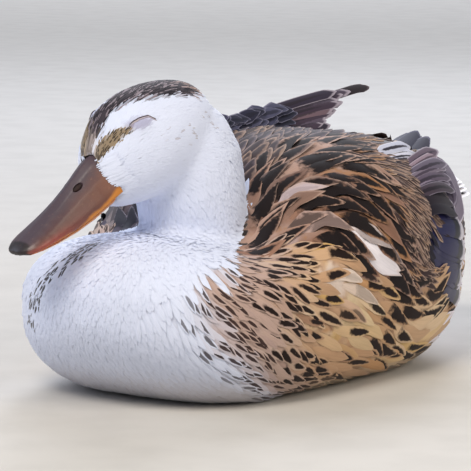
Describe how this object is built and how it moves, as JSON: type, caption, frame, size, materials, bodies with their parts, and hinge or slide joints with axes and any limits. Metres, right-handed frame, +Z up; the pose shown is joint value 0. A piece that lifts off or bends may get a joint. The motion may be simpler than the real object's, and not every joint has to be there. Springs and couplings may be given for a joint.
{
  "type": "duck",
  "caption": "Resting domestic duck with pied plumage, asleep on its belly with the neck drawn in and the bill low over the breast.",
  "frame": {"origin": "middle of the belly's resting flat, on the floor", "axes": "+Z up, +Y from breast to tail, +X to the duck's left side"},
  "size_m": [0.1528, 0.337, 0.1423],
  "materials": {
    "white_plumage": "soft white down and small feathers, matt",
    "spotted_plumage": "buff flank feathers with dark brown spots, matt",
    "dark_scapulars": "dark brown scapulars and coverts with pinkish buff edges, slight silk sheen",
    "tail_plumage": "white tail feathers with dark slate marks, matt",
    "slate_vanes": "slate flight feathers with pale edges, slight sheen",
    "indigo_vanes": "indigo wing patch with black bar and white trailing edge, silk sheen",
    "bill_horn": "brown and orange bill skin with a purplish saddle, satin",
    "closed_lid": "pale grey closed eyelids, matt skin",
    "web_skin": "orange scaled foot skin with thin webs, satin"
  },
  "bodies": {
    "root": {"head": "white_plumage", "neck": "white_plumage", "tail": "tail_plumage", "trunk": "spotted_plumage", "bill_upper": "bill_horn", "bill_lower": "bill_horn", "eye_left": "closed_lid", "eye_right": "closed_lid", "wing_left": "dark_scapulars", "wing_right": "dark_scapulars", "wing_left_tertials": "dark_scapulars", "wing_right_tertials": "dark_scapulars", "wing_left_secondaries": "indigo_vanes", "wing_right_secondaries": "indigo_vanes", "wing_left_primaries": "slate_vanes", "wing_right_primaries": "slate_vanes", "wing_right_raised": "slate_vanes", "leg_left": "web_skin", "leg_right": "web_skin"}
  },
  "joints": []
}
